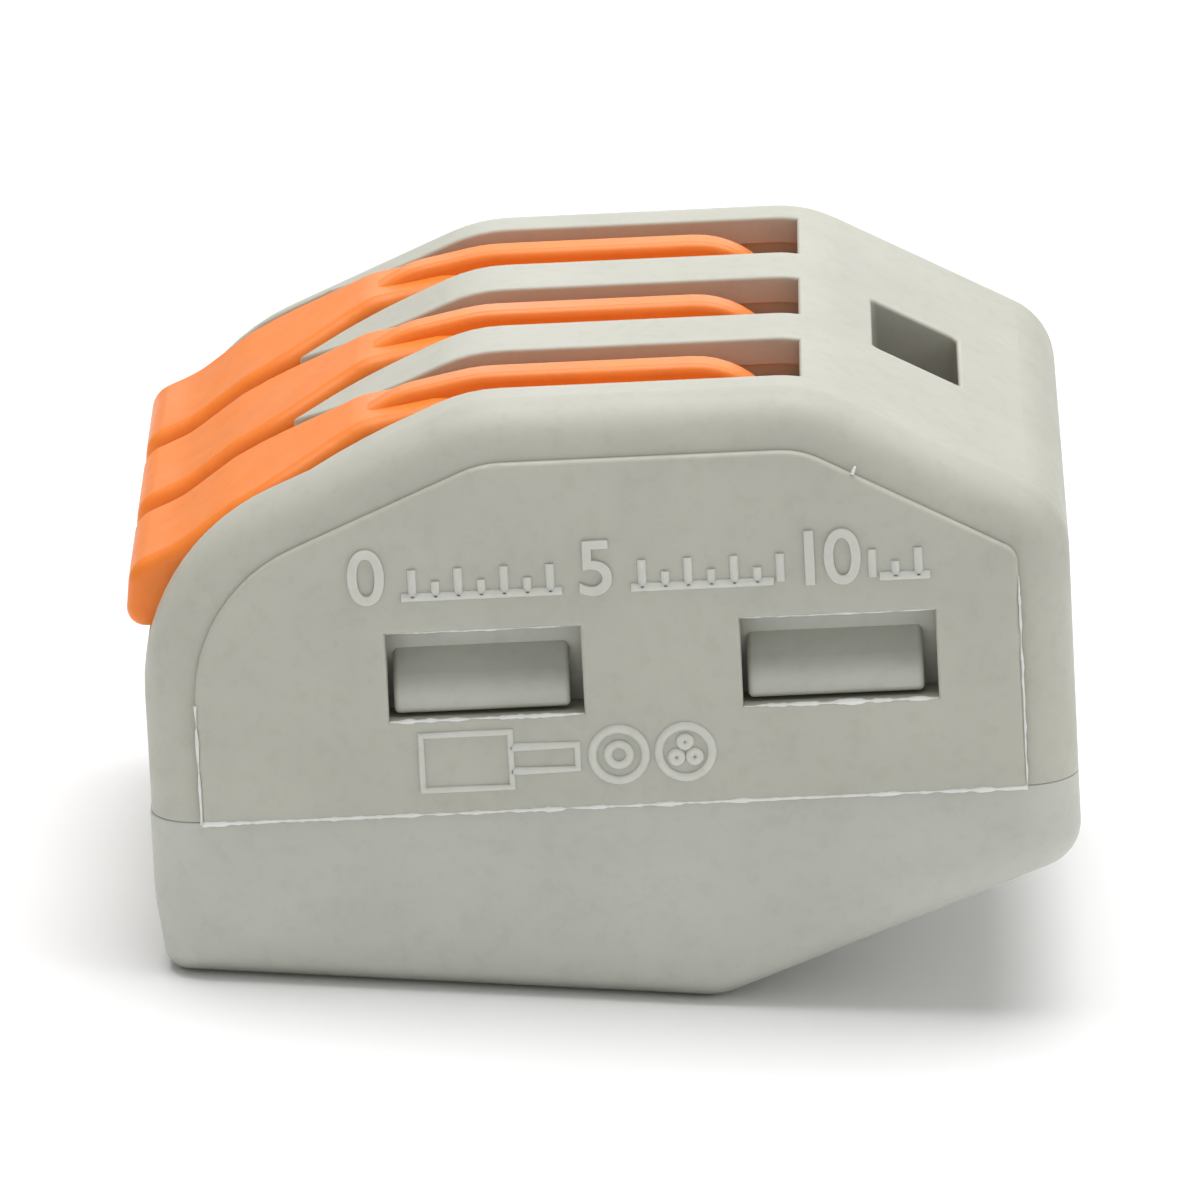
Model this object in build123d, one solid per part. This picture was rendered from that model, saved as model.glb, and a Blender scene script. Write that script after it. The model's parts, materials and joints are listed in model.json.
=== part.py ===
from build123d import *

import math
import os

# Lever wire connector for three conductors: a housing and a base that snap together, one bus bar,
# and for each pole a lever and a cage clamp spring.
#
# The dimensions below are in the housing's own frame, in millimetres: X runs from the wire-entry
# face (near 0) to the rear, Y across the poles (0 in the middle), Z up from the parting plane between
# housing and base (0). The base's underside slopes in that frame, so place() turns the finished
# pieces until the underside lies level, with the origin at the bottom centre of the whole part.

# Driving dimensions
FRONT = -0.06
REAR = 20.25
WIDTH = 17.5
TOP = 9.0
POLE_PITCH = 5.1
POLE_CENTRES = (-POLE_PITCH, 0.0, POLE_PITCH)
HALF_WIDTH = WIDTH / 2

# Outer shell
EDGE_ROUND = 1.12
PANEL_INSET = 1.14
PANEL_RISE = 0.16
PANEL_ROUND = 0.12
SHELL_HALF = HALF_WIDTH - PANEL_RISE
ROOF_WALL = 0.6
REAR_WALL = 1.3
SEAM_ROUND = 0.04
MOUTH_ROUND = 0.08        # edges of slots and windows
SHELL_CORNERS = (
    (FRONT, 0.0, 0),
    (FRONT, 5.93, 4.85),
    (7.31, TOP, 3.5),
    (14.78, TOP, 3.0),
    (REAR, 6.05, 1.6),
    (REAR, 0.0, 0),
)

# Base: its flat underside runs from the third corner to the fourth
BASE_CORNERS = (
    (FRONT - 0.04, 0.0, 0),
    (FRONT - 0.04, -1.9, 3.0),
    (0.1, -3.59, 0.5),
    (12.2, -4.795, 1.6),
    (REAR, -1.87, 1.05),
    (REAR, 0.0, 0),
)
UNDERSIDE_SLOPE = math.degrees(math.atan2(3.59 - 4.795, 12.2 - 0.1))
BASE_WALL = 1.1
BASE_HOLLOW_HALF = 1.75
SPARE_DEPTH = 2.0                           # how far hollows run on past the parting plane
WIRE_STOP = ((15.0, -3.2), (15.8, 2.8))     # X and Z of its lowest and highest corner
WIRE_STOP_HALF = 1.45
POST_X = (8.7, 12.4)                        # front and rear of the posts that carry the bus bar
POST_HALF = 0.65
POST_ROOT = -0.5

# Pole chambers and the slots above them
CHAMBER_FRONT = 4.6
CHAMBER_HALF = 1.6
SLOT_HALF = 1.52
SLOT_END = 14.55
SLOT_NECK = ((3.3, 0), (4.95, 3.6))         # X and radius of the two corners where a slot narrows
RECESS_HALF = 7.32
SLOT_FLOOR = ((-2.0, 3.88), (0.65, 3.88), (CHAMBER_FRONT, 6.34), (SLOT_END, 6.34))

# Wire entries
ENTRY_HEIGHT = 1.9
ENTRY_RADIUS = 1.4
ENTRY_MOUTH_RADIUS = 1.75
ENTRY_END = CHAMBER_FRONT + 0.5
FUNNEL_START = FRONT - 0.1
FUNNEL_LENGTH = 1.5

# Snap windows in both side panels, and the base's tongues that catch in them
WINDOW_CENTRES = (7.42, 15.14)
WINDOW_LENGTH = 4.26
WINDOW_LOW = 2.15
WINDOW_HIGH = 4.12
TONGUE_INNER = 7.0
TONGUE_OUTER = 7.65
TONGUE_ROOT = -0.5
TONGUE_TOP = 4.1
TONGUE_OVERLAP = 0.05                       # how far a tongue runs on behind its window's ends
POCKET_CLEARANCE = 0.05
NOSE_LOW = WINDOW_LOW + 0.08
NOSE_HIGH = 3.5
NOSE_ROOT = TONGUE_INNER + 0.1
NOSE_REACH = 8.5
NOSE_RAMP = 0.7                             # height of the slope over which the nose slips in
NOSE_RAMP_ROUND = 0.8
NOSE_LIP_ROUND = 0.14
NOSE_FRONT_GAP = 0.12
NOSE_REAR_GAP = 0.3
NOSE_ROUND = 0.12

# Test-probe window in the rear slope
PROBE_X = (16.15, 18.01)
PROBE_HALF = 1.95
PROBE_LOW = 5.9
PROBE_CORNER = 0.12

# Bus bar
BAR_LOW = 2.95
BAR_THICKNESS = 0.75
BAR_FRONT = 8.6
BAR_REAR = 12.6
BAR_HALF = 6.6
BAR_LEAD_IN = 0.4
BAR_FIT = 0.02
BAR_TONGUE_END = 14.35
BAR_TONGUE_HALF = 0.95

# Cage clamp spring
STRIP = 0.35
STRIP_HALF = 1.2
CAGE_HALF = 1.5
CAGE_X = 13.62
CAGE_LOW = 1.95
CAGE_TOP = 6.545
CAGE_WINDOW_HALF = 1.17
CAGE_WINDOW_LOW = BAR_LOW - 0.07
CAGE_WINDOW_HIGH = 6.0
CAGE_SHOULDER = 0.45                        # how far ahead of the window leg its full width begins
LOOP_X = 7.0
LOOP_TOP = 5.55
LOOP_BEND = 0.8
CAGE_BEND = 0.4
LEG_END = 12.5

# Lever
PIVOT = (12.2, 6.9)
TRUNNION_RADIUS = 0.75
TRUNNION_ROOT = 1.25
TRUNNION_END = 1.85
TRUNNION_CLEARANCE = 0.04
GROOVE_HALF = 1.9
LEVER_HALF = 1.3
LEVER_NECK = ((2.95, 2.5), (4.95, 3.5))      # X and radius of the two corners where the grip narrows
GRIP_HALF = 2.08
GRIP_ROUND = 0.32
GRIP_LOWER_EDGE = (4.4, 0.75)               # height at X = 0 and rise of a line just above it
SHELF = TOP - 0.48                          # top of the arm beside its rib
HUB_RADIUS = SHELF - PIVOT[1]
HUB_FLAT = 1.1
RIB_HALF = 0.46
RIB_ROUND = 0.2
RIB_TIP = 3.6
RIB_ROOT = 7.5
RIB_RADIUS = TOP - PIVOT[1]
RIB_SWEEP = 0.95                            # radians that the rib runs on round the pivot
JOIN = 12.0                                 # X where the arm's outline meets the hub's
CAM_LIFT = 1.4          # millimetres of clamp travel per radian of lever turn
CAM_START = 0.2         # cam height below the pivot with the lever closed
CAM_END = math.radians(82)                  # the cam's corner presses over the last few degrees
CAM_STEPS = 6
ARM_CORNERS = (
    (6.5, SHELF, 0),
    (4.9, 8.25, 1.5),
    (2.0, 6.74, 1.2),
    (0.8, 5.9, 2.5),
    (-0.26, 5.46, 0.65),
    (-0.42, 4.04, 0.4),
    (0.7, 4.06, 0.3),
    (4.7, 6.54, 2.0),
    (6.8, 7.1, 1.0),
    (9.6, 7.1, 0.5),
    (10.8, PIVOT[1] - CAM_START, 0.5),
    (JOIN, PIVOT[1] - CAM_START, 0),
    (JOIN, SHELF, 0),
)
RIB_CORNERS = (
    (RIB_TIP, RIB_ROOT - 0.6, 0),
    (RIB_TIP, RIB_ROOT, 0),
    (5.8, 8.67, 2.0),
    (7.5, TOP, 4.0),
    (JOIN, TOP, 0),
    (JOIN, RIB_ROOT, 0),
    (5.0, RIB_ROOT, 0),
)

TALL = 30.0         # longer than any piece
BELOW = -1.0        # below the housing's lower edge
OVERLAP = 0.5       # how far joined shapes run into each other
TOUCH = 0.01        # just enough for neighbouring cuts to meet


def outline(corners, plane=Plane.XZ):
    """Face through corners (x, y, radius), each rounded by its radius."""
    face = Sketch() + make_face(Polyline(*[corner[:2] for corner in corners], close=True))
    for x, y, radius in corners:
        if radius:
            nearest = face.vertices().sort_by_distance((x, y, 0))[0]
            face = fillet(nearest, radius)
    return plane * face


def slab(corners, half, centre=0.0):
    """Outline in the XZ plane, thickened to both sides of Y = centre."""
    return Pos(0, centre, 0) * extrude(outline(corners), half, both=True)


def block(low, high):
    """Box from its lowest to its highest corner."""
    size = [b - a for a, b in zip(low, high)]
    middle = [(a + b) / 2 for a, b in zip(low, high)]
    return Pos(*middle) * Box(*size)


def inset(corners, distance):
    """Convex outline moved inwards by distance, given clockwise; rounds shrink with it."""
    edges = []
    for (x0, z0, _), (x1, z1, _) in zip(corners, corners[1:] + corners[:1]):
        run = math.hypot(x1 - x0, z1 - z0)
        normal = ((z1 - z0) / run, -(x1 - x0) / run)
        edges.append((normal, normal[0] * x0 + normal[1] * z0 + distance))
    moved = []
    for (n0, d0), (n1, d1), (_, _, radius) in zip(edges[-1:] + edges[:-1], edges, corners):
        scale = n0[0] * n1[1] - n0[1] * n1[0]
        x = (d0 * n1[1] - d1 * n0[1]) / scale
        z = (n0[0] * d1 - n1[0] * d0) / scale
        moved.append((x, z, max(radius - distance, 0)))
    return tuple(moved)


def deepened(corners, depth):
    """The same outline with its two parting-plane corners moved down (or up) by depth."""
    return ((corners[0][0], depth, 0),) + corners[1:-1] + ((corners[-1][0], depth, 0),)


def side_edges(solid, half):
    """Edges of the two side faces that don't lie in the parting plane."""
    return solid.edges().filter_by(
        lambda edge: abs(abs(edge.center().Y) - half) < 1e-3 and abs(edge.center().Z) > 1e-3)


def parting_edges(solid):
    """Edges in the plane where housing and base meet."""
    return solid.edges().filter_by(lambda edge: abs(edge.center().Z) < 1e-3)


def mouth_edges(solid, uncut):
    """Edges that the cuts have left in the uncut solid's outside, above the parting plane."""
    skin = Compound(list(uncut.faces()))
    own_edges = Compound(list(uncut.edges()))
    return solid.edges().filter_by(
        lambda edge: (edge @ 0.5).Z > 1e-3
        and skin.distance_to(edge @ 0.5) < 1e-4
        and own_edges.distance_to(edge @ 0.5) > 1e-3)


def necked_plan(wide, narrow, neck, front, rear):
    """Prism over a plan that is wide in front and narrows, in a double curve, to the rear."""
    (start, start_round), (end, end_round) = neck
    upper = ((front, wide, 0), (start, wide, start_round), (end, narrow, end_round), (rear, narrow, 0))
    lower = tuple((x, -y, radius) for x, y, radius in reversed(upper))
    return extrude(outline(upper + lower, Plane.XY), TALL, both=True)


def slots():
    """Three slots above the slot floor, which widen in front into one recess for the grips."""
    above = SLOT_FLOOR + ((SLOT_END, TALL), (SLOT_FLOOR[0][0], TALL))
    way = slab([(x, z, 0) for x, z in above], RECESS_HALF)
    plan = Part()
    for centre in POLE_CENTRES:
        half = POLE_PITCH / 2 + TOUCH
        plan += Pos(0, centre, 0) * necked_plan(half, SLOT_HALF, SLOT_NECK, -TALL, SLOT_END)
    return way & plan


def chamber(centre):
    """Hollow of one pole, open at the parting plane."""
    roof = slab(inset(deepened(SHELL_CORNERS, -SPARE_DEPTH), ROOF_WALL), CHAMBER_HALF, centre)
    keep = block((CHAMBER_FRONT, -TALL, BELOW), (REAR - REAR_WALL, TALL, TALL))
    return roof & keep


def trunnion_groove(centre):
    """Grooves that the lever's trunnions turn in; their round top end carries the load."""
    radius = TRUNNION_RADIUS + TRUNNION_CLEARANCE
    x, z = PIVOT
    seat = Pos(x, centre, z) * Rot(X=90) * Cylinder(radius, 2 * GROOVE_HALF)
    way_in = block((x - radius, centre - GROOVE_HALF, BELOW), (x + radius, centre + GROOVE_HALF, z))
    return seat + way_in


def wire_entry(centre):
    """Round entry along X with a funnel at the front face."""
    bore = Cylinder(ENTRY_RADIUS, TALL)
    funnel = Cone(ENTRY_MOUTH_RADIUS, ENTRY_RADIUS, FUNNEL_LENGTH)
    funnel = Pos(0, 0, FUNNEL_START + FUNNEL_LENGTH / 2) * funnel
    entry = Pos(0, 0, ENTRY_END - TALL / 2) * bore + funnel
    return Pos(0, centre, ENTRY_HEIGHT) * Rot(Y=90) * entry


def probe_window():
    """Upright window for a test probe, through the rear slope into the middle chamber."""
    front, rear = PROBE_X
    hole = block((front, -PROBE_HALF, PROBE_LOW), (rear, PROBE_HALF, TALL))
    return fillet(hole.edges().filter_by(Axis.Z), PROBE_CORNER)


def snap_windows():
    """Windows through both side walls, and the tongues' pockets behind them."""
    cuts = Part()
    pocket_inner = TONGUE_INNER - POCKET_CLEARANCE
    pocket_outer = TONGUE_OUTER + POCKET_CLEARANCE
    for centre in WINDOW_CENTRES:
        front = centre - WINDOW_LENGTH / 2
        rear = centre + WINDOW_LENGTH / 2
        spare = TONGUE_OVERLAP + POCKET_CLEARANCE
        for low, high in ((-TALL, -TONGUE_INNER), (TONGUE_INNER, TALL)):
            cuts += block((front, low, WINDOW_LOW), (rear, high, WINDOW_HIGH))
        for low, high in ((-pocket_outer, -pocket_inner), (pocket_inner, pocket_outer)):
            pocket_top = TONGUE_TOP + POCKET_CLEARANCE
            cuts += block((front - spare, low, BELOW), (rear + spare, high, pocket_top))
    return cuts


def make_housing():
    shell = slab(SHELL_CORNERS, SHELL_HALF)
    shell = fillet(side_edges(shell, SHELL_HALF), EDGE_ROUND)
    panel = slab(inset(deepened(SHELL_CORNERS, -PANEL_INSET), PANEL_INSET), HALF_WIDTH)
    shell += fillet(side_edges(panel, HALF_WIDTH), PANEL_ROUND)
    shell = fillet(parting_edges(shell), SEAM_ROUND)
    uncut = shell
    shell = uncut - slots() - probe_window() - snap_windows()
    shell = fillet(mouth_edges(shell, uncut), MOUTH_ROUND)
    for centre in POLE_CENTRES:
        shell -= chamber(centre)
        shell -= trunnion_groove(centre)
        shell -= wire_entry(centre)
    # The bus bar and the base's posts stand in notches of the two partitions.
    bar_top = BAR_LOW + BAR_THICKNESS
    shell -= block((BAR_FRONT - BAR_FIT, -BAR_HALF, BELOW), (BAR_REAR + BAR_FIT, BAR_HALF, bar_top))
    return shell


def make_base():
    tray = slab(BASE_CORNERS, SHELL_HALF)
    tray = fillet(side_edges(tray, SHELL_HALF), EDGE_ROUND)
    tray = fillet(parting_edges(tray), SEAM_ROUND)
    hollow_corners = inset(tuple(reversed(deepened(BASE_CORNERS, SPARE_DEPTH))), BASE_WALL)
    hollow_corners = [(x, z, 0) for x, z, _ in hollow_corners]
    (stop_front, stop_low), (stop_rear, stop_top) = WIRE_STOP
    post_front, post_rear = POST_X
    for centre in POLE_CENTRES:
        tray -= slab(hollow_corners, BASE_HOLLOW_HALF, centre)
        # A stop behind the clamp ends the wire's way in.
        tray += block(
            (stop_front, centre - WIRE_STOP_HALF, stop_low),
            (stop_rear, centre + WIRE_STOP_HALF, stop_top))
    for side in (-1, 1):
        middle = side * POLE_PITCH / 2
        tray += block(
            (post_front, middle - POST_HALF, POST_ROOT),
            (post_rear, middle + POST_HALF, BAR_LOW))
        for centre in WINDOW_CENTRES:
            tray += snap_tongue(centre, side)
    return tray


def snap_tongue(centre, side):
    """Upright tongue that fills the pocket behind a window, with a nose that catches on its sill."""
    front = centre - WINDOW_LENGTH / 2
    rear = centre + WINDOW_LENGTH / 2
    tongue = block(
        (front - TONGUE_OVERLAP, TONGUE_INNER, TONGUE_ROOT),
        (rear + TONGUE_OVERLAP, TONGUE_OUTER, TONGUE_TOP))
    section = (
        (NOSE_ROOT, NOSE_LOW, 0),
        (NOSE_REACH, NOSE_LOW, NOSE_LIP_ROUND),
        (NOSE_REACH, NOSE_HIGH - NOSE_RAMP, NOSE_RAMP_ROUND),
        (TONGUE_OUTER, NOSE_HIGH, 0),
        (NOSE_ROOT, NOSE_HIGH, 0),
    )
    nose = extrude(outline(section, Plane.YZ), rear - NOSE_REAR_GAP - front - NOSE_FRONT_GAP)
    nose = Pos(front + NOSE_FRONT_GAP, 0, 0) * nose
    ends = nose.edges().filter_by(Plane.YZ).filter_by(lambda edge: edge.center().Y > TONGUE_OUTER)
    tongue += fillet(ends, NOSE_ROUND)
    return tongue if side > 0 else mirror(tongue, Plane.XZ)


def make_bus_bar():
    top = BAR_LOW + BAR_THICKNESS
    bar = block((BAR_FRONT, -BAR_HALF, BAR_LOW), (BAR_REAR, BAR_HALF, top))
    lead_in = bar.edges().filter_by(Axis.Y).sort_by_distance((BAR_FRONT, 0, BAR_LOW))[0]
    bar = chamfer(lead_in, BAR_LEAD_IN)
    for centre in POLE_CENTRES:
        half = BAR_TONGUE_HALF
        bar += block((BAR_REAR - OVERLAP, centre - half, BAR_LOW), (BAR_TONGUE_END, centre + half, top))
    return bar


def make_clamp_spring(centre):
    """Cage clamp: a leg on the bus bar, a loop, a pressed run above, and a window leg."""
    leg = BAR_LOW + BAR_THICKNESS + STRIP / 2
    path = Plane.XZ * FilletPolyline(
        (LEG_END, leg),
        (LOOP_X, leg),
        (LOOP_X, LOOP_TOP),
        (CAGE_X, CAGE_TOP),
        (CAGE_X, CAGE_LOW),
        radius=[LOOP_BEND, LOOP_BEND, CAGE_BEND])
    section = Plane(origin=path @ 0, x_dir=(0, 1, 0), z_dir=path % 0) * Rectangle(2 * CAGE_HALF, STRIP)
    spring = sweep(section, path)
    for side in (-1, 1):
        inner, outer = sorted((side * STRIP_HALF, side * TALL))
        spring -= block((0, inner, 0), (CAGE_X - CAGE_SHOULDER, outer, TALL))
    spring -= block(
        (CAGE_X - STRIP, -CAGE_WINDOW_HALF, CAGE_WINDOW_LOW),
        (CAGE_X + STRIP, CAGE_WINDOW_HALF, CAGE_WINDOW_HIGH))
    return Pos(0, centre, 0) * spring


def cam_points():
    """Cam flank: an involute, so the clamp sinks in step with the lever's turn."""
    points = []
    for step in range(CAM_STEPS + 1):
        turn = CAM_END * step / CAM_STEPS
        reach = CAM_START + CAM_LIFT * turn
        x = PIVOT[0] + CAM_LIFT * math.cos(turn) + reach * math.sin(turn)
        z = PIVOT[1] + CAM_LIFT * math.sin(turn) - reach * math.cos(turn)
        points.append((x, z))
    return points


def about_pivot(radius, angle):
    """Point at this radius round the lever's pivot, its angle counted from straight up to the rear."""
    return (PIVOT[0] + radius * math.sin(angle), PIVOT[1] + radius * math.cos(angle))


def lever_body():
    """Side outline of the lever without its rib: grip, arm, hub and cam."""
    hub_angle = math.asin(HUB_FLAT / HUB_RADIUS)
    hub_end = about_pivot(HUB_RADIUS, hub_angle)
    cam = cam_points()
    lead = JOIN - OVERLAP
    edge = [
        Polyline((PIVOT[0], SHELF), (lead, SHELF), (lead, PIVOT[1] - CAM_START), cam[0]),
        Spline(*cam),
        Line(cam[-1], hub_end),
        ThreePointArc(hub_end, about_pivot(HUB_RADIUS, hub_angle / 2), (PIVOT[0], SHELF)),
    ]
    head = Plane.XZ * make_face(Curve() + edge)
    return outline(ARM_CORNERS) + head


def rib_outline():
    """Side outline of the narrow rib, which carries on the grip's slope up to the housing's top."""
    rib_end = about_pivot(RIB_RADIUS, RIB_SWEEP)
    lead = JOIN - OVERLAP
    edge = [
        Polyline((PIVOT[0], TOP), (lead, TOP), (lead, RIB_ROOT), (PIVOT[0], RIB_ROOT), rib_end),
        ThreePointArc(rib_end, about_pivot(RIB_RADIUS, RIB_SWEEP / 2), (PIVOT[0], TOP)),
    ]
    return outline(RIB_CORNERS) + Plane.XZ * make_face(Curve() + edge)


def make_lever(centre):
    arm = extrude(lever_body(), GRIP_HALF, both=True)
    arm &= necked_plan(GRIP_HALF, LEVER_HALF, LEVER_NECK, -TALL, TALL)
    # The grip's upper edges are well rounded, its lower ones sharp.
    start, rise = GRIP_LOWER_EDGE
    rounded = arm.edges().filter_by(
        lambda edge: abs(abs(edge.center().Y) - GRIP_HALF) < 1e-3
        and edge.center().Z > start + GRIP_ROUND + rise * max(edge.center().X, 0))
    arm = fillet(rounded, GRIP_ROUND)
    rib = extrude(rib_outline(), RIB_HALF, both=True)
    crest = rib.edges().filter_by(
        lambda edge: abs(abs(edge.center().Y) - RIB_HALF) < 1e-3
        and edge.center().Z > RIB_ROOT + TOUCH
        and edge.center().X > RIB_TIP + TOUCH)
    rib = fillet(crest, RIB_ROUND)
    trunnions = Pos(PIVOT[0], 0, PIVOT[1]) * Rot(X=90) * Cylinder(TRUNNION_RADIUS, 2 * TRUNNION_END)
    trunnions -= block((0, -TRUNNION_ROOT, 0), (TALL, TRUNNION_ROOT, TALL))
    return Pos(0, centre, 0) * (arm + rib + trunnions)


def place(nodes):
    """Turn all the pieces together so that the underside is level, and centre them above it."""
    turned = {name: Rot(Y=UNDERSIDE_SLOPE) * shape for name, shape in nodes.items()}
    box = Compound(list(turned.values())).bounding_box()
    shift = Pos(-box.center().X, -box.center().Y, -box.min.Z)
    x, z = PIVOT
    pivot = (shift * Rot(Y=UNDERSIDE_SLOPE) * Pos(x, 0, z)).position
    print("pivot", pivot, "size", box.size)
    return {name: shift * shape for name, shape in turned.items()}


nodes = {"housing": make_housing(), "base": make_base(), "bus_bar": make_bus_bar()}
for number, centre in enumerate(POLE_CENTRES, start=1):
    nodes[f"lever_{number}"] = make_lever(centre)
    nodes[f"clamp_spring_{number}"] = make_clamp_spring(centre)

os.makedirs("parts", exist_ok=True)
for name, shape in place(nodes).items():
    export_step(shape, f"parts/{name}.step")
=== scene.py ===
import json
import math

import bmesh
import bpy
from mathutils import Matrix, Vector, noise


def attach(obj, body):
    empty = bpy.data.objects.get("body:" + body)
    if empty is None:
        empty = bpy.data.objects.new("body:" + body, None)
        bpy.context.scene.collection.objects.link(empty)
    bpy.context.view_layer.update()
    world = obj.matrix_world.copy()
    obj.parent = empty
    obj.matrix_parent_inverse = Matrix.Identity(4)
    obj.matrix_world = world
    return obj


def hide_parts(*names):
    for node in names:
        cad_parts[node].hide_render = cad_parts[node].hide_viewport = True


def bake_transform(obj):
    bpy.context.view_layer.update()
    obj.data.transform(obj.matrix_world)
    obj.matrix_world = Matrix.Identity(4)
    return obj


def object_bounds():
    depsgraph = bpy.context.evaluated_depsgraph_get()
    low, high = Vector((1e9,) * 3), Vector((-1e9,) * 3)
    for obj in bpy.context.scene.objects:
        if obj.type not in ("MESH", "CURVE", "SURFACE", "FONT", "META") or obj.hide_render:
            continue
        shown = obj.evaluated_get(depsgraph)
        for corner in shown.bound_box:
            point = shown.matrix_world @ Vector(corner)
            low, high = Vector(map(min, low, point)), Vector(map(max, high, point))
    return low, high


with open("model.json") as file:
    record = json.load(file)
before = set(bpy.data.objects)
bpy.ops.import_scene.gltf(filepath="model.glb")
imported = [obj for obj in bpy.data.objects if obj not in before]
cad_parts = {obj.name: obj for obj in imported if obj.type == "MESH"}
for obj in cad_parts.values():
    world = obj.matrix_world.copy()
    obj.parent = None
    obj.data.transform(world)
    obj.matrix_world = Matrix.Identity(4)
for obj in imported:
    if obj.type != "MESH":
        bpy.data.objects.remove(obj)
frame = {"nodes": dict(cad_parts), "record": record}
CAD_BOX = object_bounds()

# Lever wire connector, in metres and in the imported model's frame. Places on the object are given in
# the housing's own frame, in millimetres: x from the wire-entry face to the rear, y across the poles,
# z up from the seam between housing and base. spot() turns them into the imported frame.
MM = 0.001
CENTRE = (CAD_BOX[0] + CAD_BOX[1]) / 2
MOUNTS = {mount["name"]: mount for mount in frame["record"]["mounts"]}
ENTRY = MOUNTS["wire_entry_2"]
ENTRY_X = 3.05
ENTRY_Z = 1.9
ALONG = -Vector(ENTRY["axis"])
ACROSS = Vector((0, 1, 0))
UPWARDS = ALONG.cross(ACROSS)
HOME = Vector(ENTRY["pos_m"]) - ENTRY_X * MM * ALONG - ENTRY_Z * MM * UPWARDS
POLES = {number: MOUNTS[f"wire_entry_{number}"]["pos_m"][1] / MM for number in (1, 2, 3)}

# Camera: a long lens from a little above one side, with a slight roll.
CAMERA_AZIMUTH = math.radians(0.35)
CAMERA_ELEVATION = math.radians(16.56)
CAMERA_ROLL = math.radians(2.95)
CAMERA_DISTANCE = 321.9 * MM
CAMERA_LENS = 432.3
CAMERA_SENSOR = 36
CAMERA_NEAR = 0.01
CAMERA_FAR = 10
AIM_RIGHT = -0.194 * MM
AIM_UP = -0.31 * MM

# Studio: disc lights that face the object (name, place, size, watts), under an even pale sky
SKY_STRENGTH = 0.35
FLOOR_SIZE = 6
LIGHTS = (
    ("overhead", (0.0, 0.04, 0.28), 0.28, 0.86),
    ("back_sheen", (0.0, 0.30, 0.10), 0.20, 0.12),
    ("front_fill", (-0.06, -0.26, 0.035), 0.16, 0.05),
    ("side_fill", (0.22, -0.06, 0.12), 0.14, 0.09))

# Grain of the plastic: noise scales, in repeats per metre
MOTTLE = 330
SPECKS = 2600
FLOW = 420
WAVES = 240
GRAIN = 6500
WAVE_DEPTH = 0.03 * MM
GRAIN_DEPTH = 0.004 * MM
CORNER_SHADE_REACH = 0.5 * MM       # how far from a corner the painted shade reaches
GLOW_DEPTH = 0.35 * MM      # how deep light gets into the grey plastic
ORANGE_GLOW_DEPTH = 0.5 * MM

# Side panels: raised faces with straight lower and end edges, and two snap windows
PANEL_HALF = 8.75
PANEL_FRONT = 1.08
PANEL_REAR = 19.11
PANEL_FRONT_TOP = 2.7
PANEL_REAR_TOP = 4.8
WINDOWS = ((5.29, 9.55), (13.01, 17.27))
WINDOW_LOW = 2.15
WINDOW_HIGH = 4.12
MARK_MIRROR = 10.6          # the far panel's marks are turned about this x, to read the right way round

# Raised marks: a strip gauge with digits, and symbols of wires below it
STROKE_HALF = 0.1
STROKE_HEIGHT = 0.07
DIGIT_HEIGHT = 1.2
DIGIT_SHARE = 0.69          # height of a digit, as a share of its font size
DIGIT_GAP = 0.82            # letter spacing of the digits, as a share of the usual
DIGIT_BEVEL = 0.3           # rounded share of a digit's height off the panel
RULER_BASE = 4.95
RULER_START = 4.95
RULER_STEPS = 12
RULER_LINES = ((0.75, 4.25), (5.75, 8.85), (11.15, RULER_STEPS + 0.25))
DIGIT_EVERY = 5
ROOM_ONE_DIGIT = 0.6
ROOM_TWO_DIGITS = 1.0
TICK = 0.62
HALF_TICK = 0.34
SYMBOL_LOW = 0.55
SYMBOL_HIGH = 1.8
SHEATH = (5.95, 7.9)
BARE_END = 9.35
BARE_HALF = 0.27
RING_INSET = 0.04
SOLID_X = 10.25
SOLID_RADIUS = 0.24
STRANDED_X = 11.7
STRAND_COUNT = 3
STRAND_RADIUS = 0.11
STRANDS_OUT = 0.23          # distance of each strand from the middle of the stranded wire

# Moulding flash: half widths of its beads, and how much thicker each gets at its ends
FLASH_STEP = 0.1
FLASH_SUNK = 0.02
FLASH_LEAST = 0.006
FLASH_WANDER = 0.012
FLASH_LUMPS = 1.9           # noise repeats per millimetre along a bead
FLASH_FINER = 3.7           # how much finer the small lumps are than the large ones
LARGE_LUMPS = 1.3
SMALL_LUMPS = 0.8
FADE_LEAST = 0.2            # share of its usual width that a bead keeps at its ends
FADE_LENGTH = 0.6
THICK_LENGTH = 0.3
SEAM_FLASH = (0.043, 0.06)
FRONT_FLASH = (0.026, 0.03)
REAR_FLASH = (0.026, 0.0)
SILL_FLASH = (0.042, 0.0)
LINTEL_FLASH = (0.02, 0.0)
FLASH_OFF_WINDOW = 0.02

# Whisker of flash: its root on the panel's upper edge, its lean and rise per step, and half widths
BURR = (15.6, 7.26)
BURR_LEAN = 0.02
BURR_RISE = 0.045
BURR_SUNK = 0.04
BURR_WIDTHS = (0.045, 0.042, 0.038, 0.03, 0.018)

# Cage clamp spring
STRIP = 0.35
STRIP_EDGE = 0.04
STRIP_STEP = 0.12
STRIP_HALF = 1.2
CAGE_HALF = 1.5
CAGE_X = 13.62
CAGE_BEND = 0.4
CAGE_SHOULDER = 0.3         # how far ahead of its upright leg the cage is at its full width
CAGE_LOW = 1.95
CAGE_TOP = 6.545
CAGE_WINDOW_HALF = 1.17
CAGE_WINDOW = (2.88, 6.0)
LEG_Z = 3.875
LEG_END = 12.5
LOOP_X = 7.0
LOOP_TOP = 5.55
LOOP_BEND = 0.8
RUN_START = 8.2             # where the top run leaves the fixed loop


def spot(x, y, z):
    """Packed-frame point of a place in the housing's frame."""
    return HOME + MM * (x * ALONG + y * ACROSS + z * UPWARDS)


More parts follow.
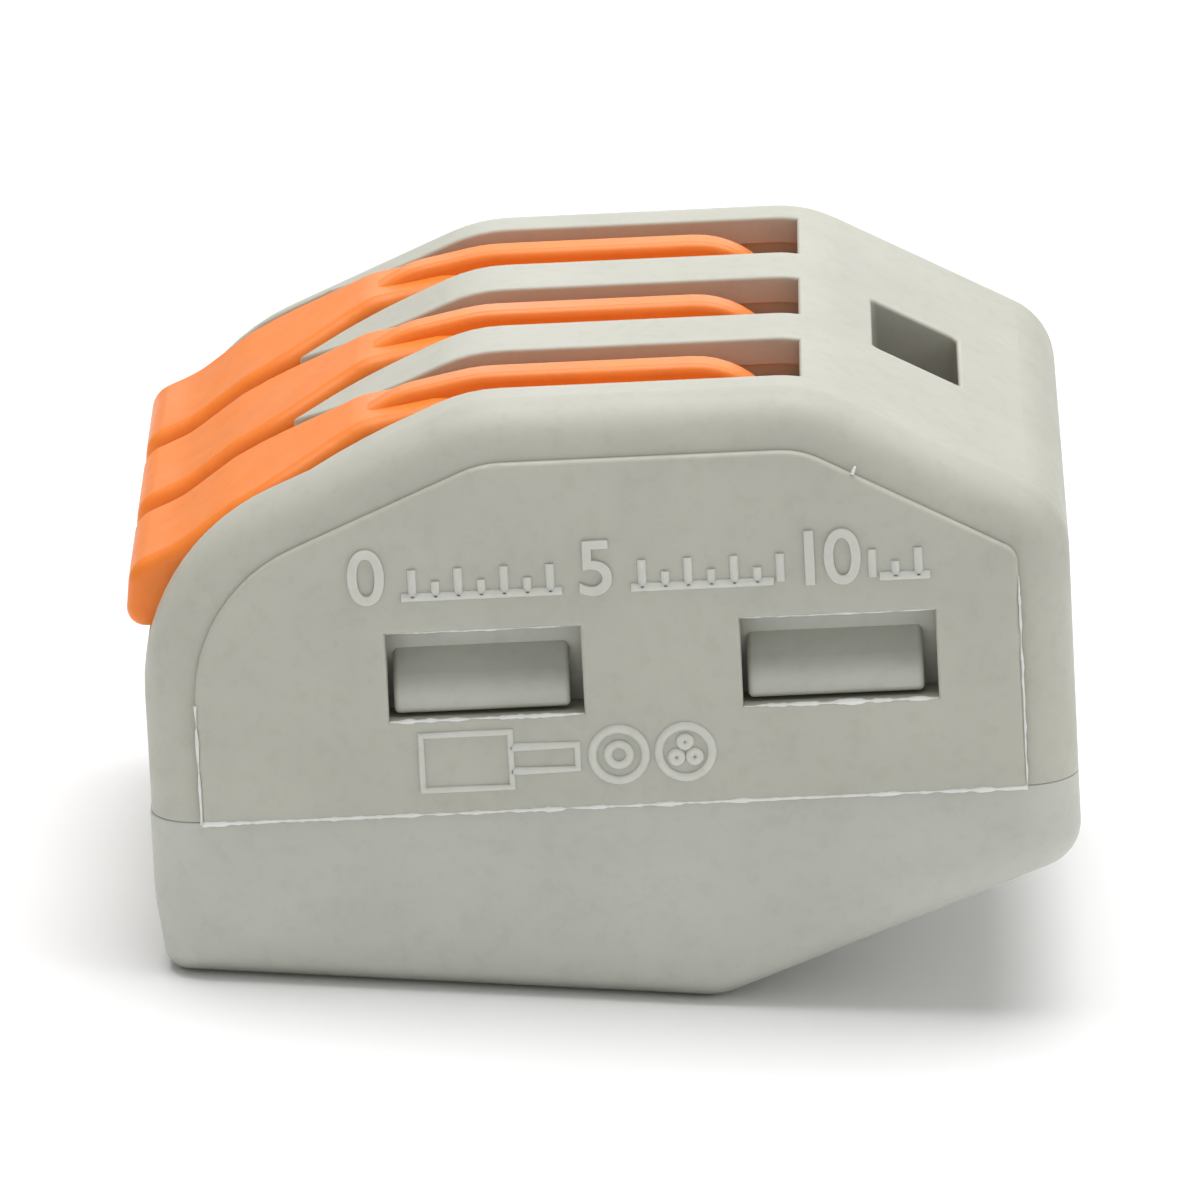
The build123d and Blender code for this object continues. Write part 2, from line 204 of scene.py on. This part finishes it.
# ---------------------------------------------------------------- camera, light and floor

def make_camera():
    """Camera aimed near the middle of the object, turned by its roll about its own line of sight."""
    forward = Vector((
        math.sin(CAMERA_AZIMUTH) * math.cos(CAMERA_ELEVATION),
        math.cos(CAMERA_AZIMUTH) * math.cos(CAMERA_ELEVATION),
        -math.sin(CAMERA_ELEVATION)))
    level = Vector((math.cos(CAMERA_AZIMUTH), -math.sin(CAMERA_AZIMUTH), 0))
    upright = level.cross(forward)
    right = math.cos(CAMERA_ROLL) * level + math.sin(CAMERA_ROLL) * upright
    up = math.cos(CAMERA_ROLL) * upright - math.sin(CAMERA_ROLL) * level
    place = CENTRE + AIM_RIGHT * right + AIM_UP * up - CAMERA_DISTANCE * forward
    data = bpy.data.cameras.new("camera")
    data.lens = CAMERA_LENS
    data.sensor_width = CAMERA_SENSOR
    data.clip_start = CAMERA_NEAR
    data.clip_end = CAMERA_FAR
    camera = bpy.data.objects.new("camera", data)
    turn = Matrix((right, up, -forward)).transposed()
    camera.matrix_world = Matrix.Translation(place) @ turn.to_4x4()
    bpy.context.scene.collection.objects.link(camera)
    bpy.context.scene.camera = camera


def area_light(name, place, size, watts):
    """Soft white disc light that faces the middle of the object."""
    data = bpy.data.lights.new(name, "AREA")
    data.shape = "DISK"
    data.size = size
    data.energy = watts
    light = bpy.data.objects.new(name, data)
    light.location = place
    light.rotation_mode = "QUATERNION"
    light.rotation_quaternion = (Vector(place) - CENTRE).to_track_quat("Z", "Y")
    bpy.context.scene.collection.objects.link(light)


def make_studio():
    """Pale sky, soft lights and a plain floor."""
    world = bpy.data.worlds.new("studio")
    world.use_nodes = True
    background = world.node_tree.nodes["Background"]
    background.inputs["Color"].default_value = (1.0, 1.0, 1.0, 1)
    background.inputs["Strength"].default_value = SKY_STRENGTH
    bpy.context.scene.world = world
    for light in LIGHTS:
        area_light(*light)
    bpy.ops.mesh.primitive_plane_add(size=FLOOR_SIZE)
    floor = bpy.context.object
    floor.name = "floor"
    floor.data.materials.append(floor_material())
    bpy.context.scene.view_settings.view_transform = "Standard"


# ---------------------------------------------------------------- materials

def start_material(name):
    """New material with its node tree and its surface shader."""
    material = bpy.data.materials.new(name)
    material.use_nodes = True
    tree = material.node_tree
    return material, tree, tree.nodes["Principled BSDF"]


def add_node(tree, kind, **values):
    """Add a shader node; names that match an input set that input, the others set the node itself."""
    node = tree.nodes.new(kind)
    for key, value in values.items():
        label = key.replace("_", " ")
        if label in node.inputs:
            node.inputs[label].default_value = value
        else:
            setattr(node, key, value)
    return node


def surface_place(tree, stretch=(1, 1, 1)):
    """Coordinates fixed to the piece, optionally stretched."""
    source = add_node(tree, "ShaderNodeTexCoord")
    mapping = add_node(tree, "ShaderNodeMapping")
    mapping.inputs["Scale"].default_value = stretch
    tree.links.new(source.outputs["Object"], mapping.inputs["Vector"])
    return mapping.outputs["Vector"]


def noise_at(tree, place, scale, detail=3.0, roughness=0.5):
    """Noise of the given fineness, mostly between 0.3 and 0.7."""
    node = add_node(tree, "ShaderNodeTexNoise", Scale=scale, Detail=detail, Roughness=roughness)
    tree.links.new(place, node.inputs["Vector"])
    return node.outputs["Fac"]


def ramp(tree, value, stops):
    """Colour ramp through (position, colour) stops."""
    node = add_node(tree, "ShaderNodeValToRGB")
    while len(node.color_ramp.elements) < len(stops):
        node.color_ramp.elements.new(0.5)
    for element, (position, colour) in zip(node.color_ramp.elements, stops):
        element.position = position
        element.color = (*colour, 1)
    tree.links.new(value, node.inputs["Fac"])
    return node.outputs["Color"]


def spread(tree, value, low, high):
    """Map a noise value, which stays mostly between 0.3 and 0.7, to low..high."""
    node = add_node(tree, "ShaderNodeMapRange")
    node.inputs["From Min"].default_value = 0.3
    node.inputs["From Max"].default_value = 0.7
    node.inputs["To Min"].default_value = low
    node.inputs["To Max"].default_value = high
    tree.links.new(value, node.inputs["Value"])
    return node.outputs["Result"]


def multiplied(tree, colour, shade, factor=1.0):
    """One colour darkened by another."""
    node = add_node(tree, "ShaderNodeMix", data_type="RGBA", blend_type="MULTIPLY")
    node.inputs["Factor"].default_value = factor
    tree.links.new(colour, node.inputs["A"])
    tree.links.new(shade, node.inputs["B"])
    return node.outputs["Result"]


def bumped(tree, shader, height, distance, strength, under=None):
    """Give the surface fine relief, on top of other relief where that is given."""
    node = add_node(tree, "ShaderNodeBump", Distance=distance, Strength=strength)
    tree.links.new(height, node.inputs["Height"])
    if under:
        tree.links.new(under, node.inputs["Normal"])
    tree.links.new(node.outputs["Normal"], shader.inputs["Normal"])
    return node.outputs["Normal"]


def scaled_colour(colour, factor):
    """The colour made lighter or darker."""
    return tuple(channel * factor for channel in colour)


def moulded_plastic(name, colour, roughness, depth, glow, corner_shade=0.8):
    """Injection-moulded plastic: faint mottling, fine grain, uneven gloss, painted shade in the corners.
    """
    material, tree, shader = start_material(name)
    place = surface_place(tree)
    clouds = noise_at(tree, place, MOTTLE, 4, 0.6)
    tone = ramp(tree, clouds, (
        (0.30, scaled_colour(colour, 0.955)),
        (0.52, colour),
        (0.72, scaled_colour(colour, 1.04))))
    specks = noise_at(tree, place, SPECKS, 2, 0.7)
    tone = multiplied(tree, tone, ramp(tree, specks, ((0.30, (0.95, 0.95, 0.94)), (0.5, (1, 1, 1)))))
    # painted shade: ambient occlusion darkens the colour in corners, creases and recesses
    corners = add_node(tree, "ShaderNodeAmbientOcclusion", samples=4, Distance=CORNER_SHADE_REACH)
    painted_corner_shade = ramp(tree, corners.outputs["AO"], ((0.25, (0.80, 0.78, 0.74)), (0.85, (1, 1, 1))))
    tone = multiplied(tree, tone, painted_corner_shade, corner_shade)
    tree.links.new(tone, shader.inputs["Base Color"])
    flow = noise_at(tree, surface_place(tree, (0.5, 1.0, 2.2)), FLOW, 3, 0.5)
    tree.links.new(spread(tree, flow, roughness - 0.07, roughness + 0.09), shader.inputs["Roughness"])
    waves = noise_at(tree, place, WAVES, 2, 0.4)
    grain = noise_at(tree, place, GRAIN, 3, 0.6)
    sunk = bumped(tree, shader, waves, WAVE_DEPTH, 0.35)
    bumped(tree, shader, grain, GRAIN_DEPTH, 0.35, sunk)
    shader.inputs["Subsurface Weight"].default_value = glow
    shader.inputs["Subsurface Radius"].default_value = (1.0, 0.8, 0.6)
    shader.inputs["Subsurface Scale"].default_value = depth
    shader.inputs["IOR"].default_value = 1.5
    return material


def orange_plastic(name):
    """Bright pigmented plastic of the levers, with a faint painted glow from a weak orange emission that
    lifts its shaded sides.
    """
    material = moulded_plastic(name, (0.80, 0.208, 0.022), 0.42, ORANGE_GLOW_DEPTH, 0.35, 0.3)
    shader = material.node_tree.nodes["Principled BSDF"]
    shader.inputs["Subsurface Radius"].default_value = (1.0, 0.35, 0.10)
    # painted light: a weak orange emission brightens the levers' shaded sides
    shader.inputs["Emission Color"].default_value = (1.0, 0.24, 0.0, 1)
    shader.inputs["Emission Strength"].default_value = 0.1
    return material


def spring_steel(name):
    """Rolled spring strip: bright, with fine drawn lines along the strip."""
    material, tree, shader = start_material(name)
    lines = noise_at(tree, surface_place(tree, (0.06, 1, 0.06)), 9000, 3, 0.6)
    blotches = noise_at(tree, surface_place(tree), 700, 3, 0.6)
    tree.links.new(
        ramp(tree, blotches, ((0.35, (0.50, 0.50, 0.51)), (0.65, (0.66, 0.66, 0.67)))),
        shader.inputs["Base Color"])
    tree.links.new(spread(tree, lines, 0.22, 0.42), shader.inputs["Roughness"])
    bumped(tree, shader, lines, 0.003 * MM, 0.5)
    shader.inputs["Metallic"].default_value = 1.0
    return material


def tinned_copper(name):
    """Dull tin plating with a warm cast where it is thin."""
    material, tree, shader = start_material(name)
    place = surface_place(tree)
    patches = noise_at(tree, place, 900, 4, 0.65)
    plating = ((0.36, (0.66, 0.50, 0.38)), (0.5, (0.70, 0.68, 0.64)), (0.7, (0.78, 0.77, 0.75)))
    tree.links.new(ramp(tree, patches, plating), shader.inputs["Base Color"])
    grain = noise_at(tree, place, 4200, 3, 0.6)
    tree.links.new(spread(tree, grain, 0.34, 0.52), shader.inputs["Roughness"])
    bumped(tree, shader, grain, GRAIN_DEPTH, 0.4)
    shader.inputs["Metallic"].default_value = 1.0
    return material


def floor_material():
    """Pale matt floor with a very faint unevenness."""
    material, tree, shader = start_material("floor")
    clouds = noise_at(tree, surface_place(tree), 3, 2)
    tree.links.new(
        ramp(tree, clouds, ((0.3, (0.93, 0.93, 0.93)), (0.7, (0.95, 0.95, 0.95)))),
        shader.inputs["Base Color"])
    shader.inputs["Roughness"].default_value = 0.95
    shader.inputs["Specular IOR Level"].default_value = 0.1
    return material


# ---------------------------------------------------------------- mesh helpers

def link_piece(name, mesh, material, body):
    """Put a finished mesh in the scene as a piece, which rides on a body where one is named."""
    piece = bpy.data.objects.new(name, mesh)
    bpy.context.scene.collection.objects.link(piece)
    mesh.materials.clear()
    mesh.materials.append(material)
    if body:
        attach(piece, body)
    return piece


def mesh_of(source):
    """Plain mesh of a curve, text or modified object, which is then removed."""
    bpy.context.view_layer.update()
    depsgraph = bpy.context.evaluated_depsgraph_get()
    mesh = bpy.data.meshes.new_from_object(source.evaluated_get(depsgraph))
    bpy.data.objects.remove(source)
    return mesh


def smooth_shaded(mesh):
    """Shade every face of a mesh smoothly."""
    for polygon in mesh.polygons:
        polygon.use_smooth = True


def on_panel(side, x, z, out):
    """Point on a side panel: side -1 is the near one; marks on the far one are turned to be read."""
    if side > 0:
        x = 2 * MARK_MIRROR - x
    return spot(x, side * (PANEL_HALF + out), z)


# ---------------------------------------------------------------- raised marks on the side panels

def circle_points(x, z, radius, count=28):
    """Points around a circle, at even steps."""
    angles = [2 * math.pi * step / count for step in range(count)]
    return [(x + radius * math.cos(angle), z + radius * math.sin(angle)) for angle in angles]


def ruler_strokes():
    """Strip gauge: a base line broken by the digits, with a tick each millimetre and half millimetre."""
    strokes = []
    for step in range(2 * RULER_STEPS + 1):
        x = RULER_START + step / 2
        nearest = round((x - RULER_START) / DIGIT_EVERY) * DIGIT_EVERY
        room = ROOM_TWO_DIGITS if nearest == 2 * DIGIT_EVERY else ROOM_ONE_DIGIT
        if abs(x - RULER_START - nearest) < room:
            continue
        height = TICK if step % 2 == 0 else HALF_TICK
        strokes.append(([(x, RULER_BASE), (x, RULER_BASE + height)], False))
    for start, end in RULER_LINES:
        strokes.append(([(RULER_START + start, RULER_BASE), (RULER_START + end, RULER_BASE)], False))
    return strokes


def wire_strokes():
    """A stripped wire from the side, and the ends of a solid and of a stranded one."""
    middle = (SYMBOL_LOW + SYMBOL_HIGH) / 2
    sheath_front, sheath_end = SHEATH
    strokes = [
        ([(sheath_end, SYMBOL_LOW), (sheath_front, SYMBOL_LOW), (sheath_front, SYMBOL_HIGH),
          (sheath_end, SYMBOL_HIGH)], True),
        ([(sheath_end, middle - BARE_HALF), (BARE_END, middle - BARE_HALF),
          (BARE_END, middle + BARE_HALF), (sheath_end, middle + BARE_HALF)], False),
    ]
    outer = (SYMBOL_HIGH - SYMBOL_LOW) / 2 - RING_INSET
    strokes.append((circle_points(SOLID_X, middle, outer), True))
    strokes.append((circle_points(SOLID_X, middle, SOLID_RADIUS, 18), True))
    strokes.append((circle_points(STRANDED_X, middle, outer), True))
    for strand in range(STRAND_COUNT):
        angle = 2 * math.pi * strand / STRAND_COUNT + math.pi / 2
        x = STRANDED_X + STRANDS_OUT * math.cos(angle)
        z = middle + STRANDS_OUT * math.sin(angle)
        strokes.append((circle_points(x, z, STRAND_RADIUS, 12), True))
    return strokes


def stroke_mesh(strokes):
    """Low rounded ridges along plane strokes, in millimetres, with the mesh's z out of the panel."""
    curve = bpy.data.curves.new("strokes", "CURVE")
    curve.dimensions = "3D"
    curve.bevel_depth = STROKE_HALF
    curve.bevel_resolution = 3
    curve.use_fill_caps = True
    for points, closed in strokes:
        spline = curve.splines.new("POLY")
        spline.points.add(len(points) - 1)
        for target, (x, z) in zip(spline.points, points):
            target.co = (x, z, 0, 1)
        spline.use_cyclic_u = closed
    holder = bpy.data.objects.new("strokes", curve)
    bpy.context.scene.collection.objects.link(holder)
    mesh = mesh_of(holder)
    for vertex in mesh.vertices:
        vertex.co.z *= STROKE_HEIGHT / STROKE_HALF
    return mesh


def digit_mesh(text, x):
    """Raised digits centred on x, standing on the ruler's base line."""
    data = bpy.data.curves.new("digits", "FONT")
    data.body = text
    data.size = DIGIT_HEIGHT / DIGIT_SHARE
    data.align_x = "CENTER"
    data.space_character = DIGIT_GAP
    data.extrude = STROKE_HEIGHT * (1 - DIGIT_BEVEL)
    data.bevel_depth = STROKE_HEIGHT * DIGIT_BEVEL
    data.bevel_resolution = 2
    holder = bpy.data.objects.new("digits", data)
    bpy.context.scene.collection.objects.link(holder)
    mesh = mesh_of(holder)
    for vertex in mesh.vertices:
        vertex.co.x += x
        vertex.co.y += RULER_BASE - STROKE_HALF
    return mesh


def make_marks(side, material):
    """All raised marks of one panel as one piece."""
    shape = bmesh.new()
    parts = [stroke_mesh(ruler_strokes() + wire_strokes())]
    for value in (0, DIGIT_EVERY, 2 * DIGIT_EVERY):
        parts.append(digit_mesh(str(value), RULER_START + value))
    for part in parts:
        shape.from_mesh(part)
        bpy.data.meshes.remove(part)
    for vertex in shape.verts:
        x, z, out = vertex.co
        vertex.co = on_panel(side, x, z, out)
    name = "panel_marks_near" if side < 0 else "panel_marks_far"
    mesh = bpy.data.meshes.new(name)
    shape.to_mesh(mesh)
    shape.free()
    link_piece(name, mesh, material, "shell")


# ---------------------------------------------------------------- moulding flash

def add_bead(shape, points, widths):
    """Add a thin bead of uneven width along packed-frame points."""
    sides = 6
    rings = []
    for index, (point, width) in enumerate(zip(points, widths)):
        ahead = points[min(index + 1, len(points) - 1)] - points[max(index - 1, 0)]
        across = ahead.cross(ACROSS).normalized()
        ring = []
        for corner in range(sides):
            angle = 2 * math.pi * corner / sides
            offset = math.cos(angle) * across + math.sin(angle) * ACROSS
            ring.append(shape.verts.new(point + width * MM * offset))
        rings.append(ring)
    for ring, following in zip(rings, rings[1:]):
        for corner in range(sides):
            beside = (corner + 1) % sides
            shape.faces.new((ring[corner], ring[beside], following[beside], following[corner]))
    shape.faces.new(reversed(rings[0]))
    shape.faces.new(rings[-1])


def flash_lines():
    """Where flash has squeezed out: (start, end, (usual half width, thicker at its ends by))."""
    lines = [
        ((PANEL_FRONT, 0.0), (PANEL_REAR, 0.0), SEAM_FLASH),
        ((PANEL_FRONT, 0.0), (PANEL_FRONT, PANEL_FRONT_TOP), FRONT_FLASH),
        ((PANEL_REAR, 0.0), (PANEL_REAR, PANEL_REAR_TOP), REAR_FLASH),
    ]
    sill = WINDOW_LOW - FLASH_OFF_WINDOW
    lintel = WINDOW_HIGH + FLASH_OFF_WINDOW
    for front, back in WINDOWS:
        lines.append(((front, sill), (back, sill), SILL_FLASH))
        lines.append(((front, lintel), (back, lintel), LINTEL_FLASH))
    return lines


def make_flash(side, material):
    """Uneven flash along the seam under a side panel, up its ends and on its windows' edges."""
    shape = bmesh.new()
    for number, (start, end, (half, extra)) in enumerate(flash_lines()):
        line = subdivided([Vector(start), Vector(end)], FLASH_STEP)
        points = []
        widths = []
        for index, (x, z) in enumerate(line):
            # each bead, and each side, reads its own stretch of the noise
            seed = Vector((index * FLASH_STEP * FLASH_LUMPS, number * 7.0, side * 3.0))
            from_end = min(index, len(line) - 1 - index) * FLASH_STEP
            large = LARGE_LUMPS * noise.noise(seed)
            uneven = 1 + large + SMALL_LUMPS * noise.noise(FLASH_FINER * seed)
            faded = min(1.0, FADE_LEAST + from_end / FADE_LENGTH)
            thick_end = extra * math.exp(-from_end / THICK_LENGTH)
            widths.append(max(FLASH_LEAST, half * uneven * faded + thick_end))
            wander = FLASH_WANDER * noise.noise(1.6 * seed + Vector((0, 0, 50)))
            points.append(spot(x + wander, side * (PANEL_HALF - FLASH_SUNK), z + wander))
        add_bead(shape, points, widths)
    bmesh.ops.recalc_face_normals(shape, faces=shape.faces)
    name = "flash_near" if side < 0 else "flash_far"
    mesh = bpy.data.meshes.new(name)
    shape.to_mesh(mesh)
    shape.free()
    smooth_shaded(mesh)
    link_piece(name, mesh, material, "shell")


def make_burr(material):
    """Whisker of flash that stands up from the near panel's upper edge."""
    shape = bmesh.new()
    root_x, root_z = BURR
    points = [
        spot(root_x + BURR_LEAN * step, -PANEL_HALF + BURR_SUNK, root_z + BURR_RISE * step)
        for step in range(len(BURR_WIDTHS))]
    add_bead(shape, points, BURR_WIDTHS)
    bmesh.ops.recalc_face_normals(shape, faces=shape.faces)
    mesh = bpy.data.meshes.new("panel_burr")
    shape.to_mesh(mesh)
    shape.free()
    smooth_shaded(mesh)
    link_piece("panel_burr", mesh, material, "shell")


# ---------------------------------------------------------------- cage clamp springs

def rounded_path(corners, steps=8):
    """Points along a polyline whose inner corners (x, z, radius) are rounded."""
    path = [Vector(corners[0][:2])]
    for before, corner, after in zip(corners, corners[1:], corners[2:]):
        here = Vector(corner[:2])
        back = (Vector(before[:2]) - here).normalized()
        on = (Vector(after[:2]) - here).normalized()
        half = math.acos(max(-1, min(1, back.dot(on)))) / 2
        reach = corner[2] / math.tan(half)
        start = here + reach * back
        end = here + reach * on
        for step in range(steps + 1):
            share = step / steps
            bend = (1 - share) ** 2 * start + 2 * share * (1 - share) * here + share ** 2 * end
            path.append(bend)
    path.append(Vector(corners[-1][:2]))
    return path


def subdivided(path, longest):
    """The same path with no step longer than this."""
    fine = [path[0]]
    for start, end in zip(path, path[1:]):
        count = max(1, math.ceil((end - start).length / longest))
        fine += [start.lerp(end, step / count) for step in range(1, count + 1)]
    return fine


def strip_piece(name, path, columns_at, material, hole=None):
    """Bent metal strip on no body yet: a sheet along the path, given thickness and soft edges."""
    shape = bmesh.new()
    rows = []
    for point in path:
        rows.append([shape.verts.new(spot(point.x, y, point.y)) for y in columns_at(point)])
    steps = list(zip(path, rows))
    for (point, row), (ahead, following) in zip(steps, steps[1:]):
        middle = (point + ahead) / 2
        for column in range(len(row) - 1):
            if hole and hole(middle, column, len(row) - 1):
                continue
            shape.faces.new((row[column], row[column + 1], following[column + 1], following[column]))
    loose = [vertex for vertex in shape.verts if not vertex.link_faces]
    bmesh.ops.delete(shape, geom=loose, context="VERTS")
    mesh = bpy.data.meshes.new(name)
    shape.to_mesh(mesh)
    shape.free()
    holder = bpy.data.objects.new(name, mesh)
    bpy.context.scene.collection.objects.link(holder)
    thick = holder.modifiers.new("thickness", "SOLIDIFY")
    thick.thickness = STRIP * MM
    thick.offset = 0
    thick.use_even_offset = True
    soft = holder.modifiers.new("edges", "BEVEL")
    soft.width = STRIP_EDGE * MM
    soft.segments = 2
    soft.limit_method = "ANGLE"
    soft.angle_limit = math.radians(50)
    finished = mesh_of(holder)
    smooth_by_angle(finished, math.radians(40))
    return link_piece(name, finished, material, None)


def smooth_by_angle(mesh, angle):
    """Smooth shading that keeps edges sharper than the angle."""
    smooth_shaded(mesh)
    shape = bmesh.new()
    shape.from_mesh(mesh)
    for edge in shape.edges:
        edge.smooth = len(edge.link_faces) == 2 and edge.calc_face_angle(0) < angle
    shape.to_mesh(mesh)
    shape.free()


def make_spring(number, centre, material):
    """One clamp: a fixed leg and loop that ride on the shell, and a run and window leg left on no body.
    """
    def plain_columns(_):
        return [centre + y for y in (-STRIP_HALF, 0, STRIP_HALF)]

    def cage_columns(point):
        outer = CAGE_HALF if point.x > CAGE_X - CAGE_SHOULDER else STRIP_HALF
        return [centre + y for y in (-outer, -CAGE_WINDOW_HALF, CAGE_WINDOW_HALF, outer)]

    def window(middle, column, columns):
        low, high = CAGE_WINDOW
        return column == columns // 2 and middle.x > CAGE_X - 0.05 and low < middle.y < high

    run = Vector((CAGE_X - LOOP_X, CAGE_TOP - LOOP_TOP))
    share = (RUN_START - LOOP_X) / run.x
    joint = Vector((RUN_START, LOOP_TOP + share * run.y))
    fixed = rounded_path((
        (LEG_END, LEG_Z), (LOOP_X, LEG_Z, LOOP_BEND), (LOOP_X, LOOP_TOP, LOOP_BEND), tuple(joint)))
    loop = strip_piece(f"spring_loop_{number}", fixed, plain_columns, material)
    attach(loop, "shell")
    moving = rounded_path((tuple(joint), (CAGE_X, CAGE_TOP, CAGE_BEND), (CAGE_X, CAGE_LOW)))
    cage = strip_piece(
        f"spring_cage_{number}", subdivided(moving, STRIP_STEP), cage_columns, material, window)
    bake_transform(cage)
    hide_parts(f"clamp_spring_{number}")


# ---------------------------------------------------------------- build

def cad_material(node, material):
    """Give a carried-over CAD piece its material."""
    data = frame["nodes"][node].data
    data.materials.clear()
    data.materials.append(material)


make_camera()
make_studio()
housing_grey = moulded_plastic("housing_grey", (0.488, 0.488, 0.423), 0.50, GLOW_DEPTH, 0.20)
# painted light: the base uses a lighter copy of the housing's grey, to make up for shade low down near
# the floor
base_grey = moulded_plastic("base_grey", (0.530, 0.538, 0.487), 0.50, GLOW_DEPTH, 0.20)
# raised marks get a lighter grey than the panel
raised_mark_grey = moulded_plastic("raised_mark_grey", (0.625, 0.625, 0.570), 0.50, GLOW_DEPTH, 0.20, 0.3)
flash_grey = moulded_plastic("flash_grey", (0.80, 0.80, 0.76), 0.55, GLOW_DEPTH, 0.25, 0.0)
orange = orange_plastic("lever_orange")
steel = spring_steel("spring_steel")
tin = tinned_copper("tinned_copper")
cad_material("housing", housing_grey)
cad_material("base", base_grey)
cad_material("bus_bar", tin)
for number, centre in POLES.items():
    cad_material(f"lever_{number}", orange)
    make_spring(number, centre, steel)
for side in (-1, 1):
    make_marks(side, raised_mark_grey)
    make_flash(side, flash_grey)
make_burr(flash_grey)
